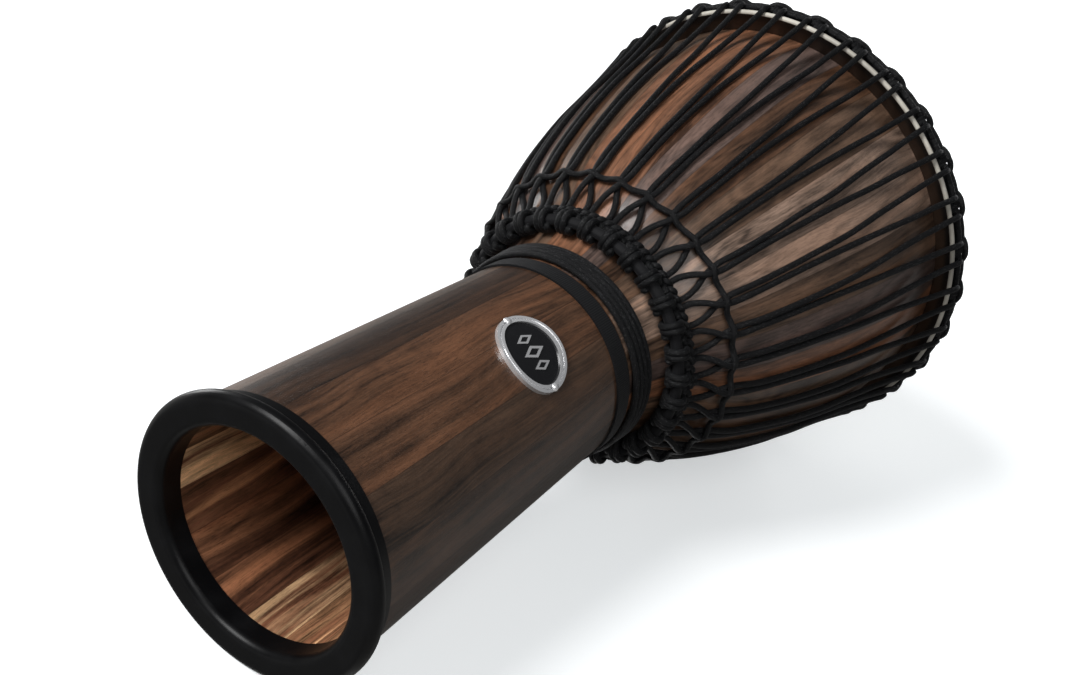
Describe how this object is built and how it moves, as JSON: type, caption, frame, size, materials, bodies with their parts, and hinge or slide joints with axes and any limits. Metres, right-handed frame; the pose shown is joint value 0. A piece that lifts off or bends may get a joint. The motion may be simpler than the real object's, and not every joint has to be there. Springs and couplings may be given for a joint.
{
  "type": "djembe hand drum",
  "caption": "Rope-tuned goblet hand drum with a glued stave shell, skin head, wrapped tuning rings, black rope rigging and a rubber foot",
  "frame": {"origin": "centre of the foot's bottom face, on the drum's axis", "axes": "+Z along the drum's axis towards the head; the badge faces -Y"},
  "size_m": [0.3428, 0.3428, 0.61],
  "materials": {
    "stave_wood": "satin dark brown stain over glued hardwood staves",
    "foot_rubber": "satin moulded black rubber",
    "webbing": "ribbed black webbing",
    "rope": "braided black polyester rope with pale flecks",
    "ring_steel": "black enamel on steel bar",
    "ring_tape": "black cloth tape",
    "flesh_ring_steel": "plain steel bar, inside the tucked skin",
    "drum_skin": "cream drum skin, matt",
    "badge_chrome": "polished chrome",
    "badge_black": "gloss black enamel",
    "badge_silver": "satin silver"
  },
  "bodies": {
    "drum_body": {"badge_emblem": "badge_silver", "badge_frame": "badge_chrome", "badge_inlay": "badge_black", "badge_nails": "badge_chrome", "bowl_stave_01": "stave_wood", "bowl_stave_02": "stave_wood", "bowl_stave_03": "stave_wood", "bowl_stave_04": "stave_wood", "bowl_stave_05": "stave_wood", "bowl_stave_06": "stave_wood", "bowl_stave_07": "stave_wood", "bowl_stave_08": "stave_wood", "bowl_stave_09": "stave_wood", "bowl_stave_10": "stave_wood", "bowl_stave_11": "stave_wood", "bowl_stave_12": "stave_wood", "bowl_stave_13": "stave_wood", "bowl_stave_14": "stave_wood", "bowl_stave_15": "stave_wood", "bowl_stave_16": "stave_wood", "bowl_stave_17": "stave_wood", "bowl_stave_18": "stave_wood", "bowl_stave_19": "stave_wood", "bowl_stave_20": "stave_wood", "bowl_stave_21": "stave_wood", "bowl_stave_22": "stave_wood", "bowl_stave_23": "stave_wood", "bowl_stave_24": "stave_wood", "bowl_stave_25": "stave_wood", "bowl_stave_26": "stave_wood", "bowl_stave_27": "stave_wood", "bowl_stave_28": "stave_wood", "bowl_stave_29": "stave_wood", "bowl_stave_30": "stave_wood", "lower_hitches": "rope", "lower_plait": "rope", "lower_ring": "ring_steel", "lower_ring_tape": "ring_tape", "rubber_foot": "foot_rubber", "skin": "drum_skin", "stem_staves": "stave_wood", "tension_legs": "rope", "waist_band": "webbing", "waist_lashing": "rope", "waist_rope": "rope", "weave_rope": "rope"},
    "crown": {"crown_ring": "ring_steel", "crown_ring_tape": "ring_tape", "crown_hitches": "rope", "crown_rope_runs": "rope", "flesh_ring": "flesh_ring_steel"}
  },
  "joints": [
    {"name": "tuning_slide", "type": "slide", "parent": "drum_body", "child": "crown", "axis": [0, 0, -1], "range_m": [0, 0.006], "deforming": ["skin", "tension_legs"]}
  ]
}
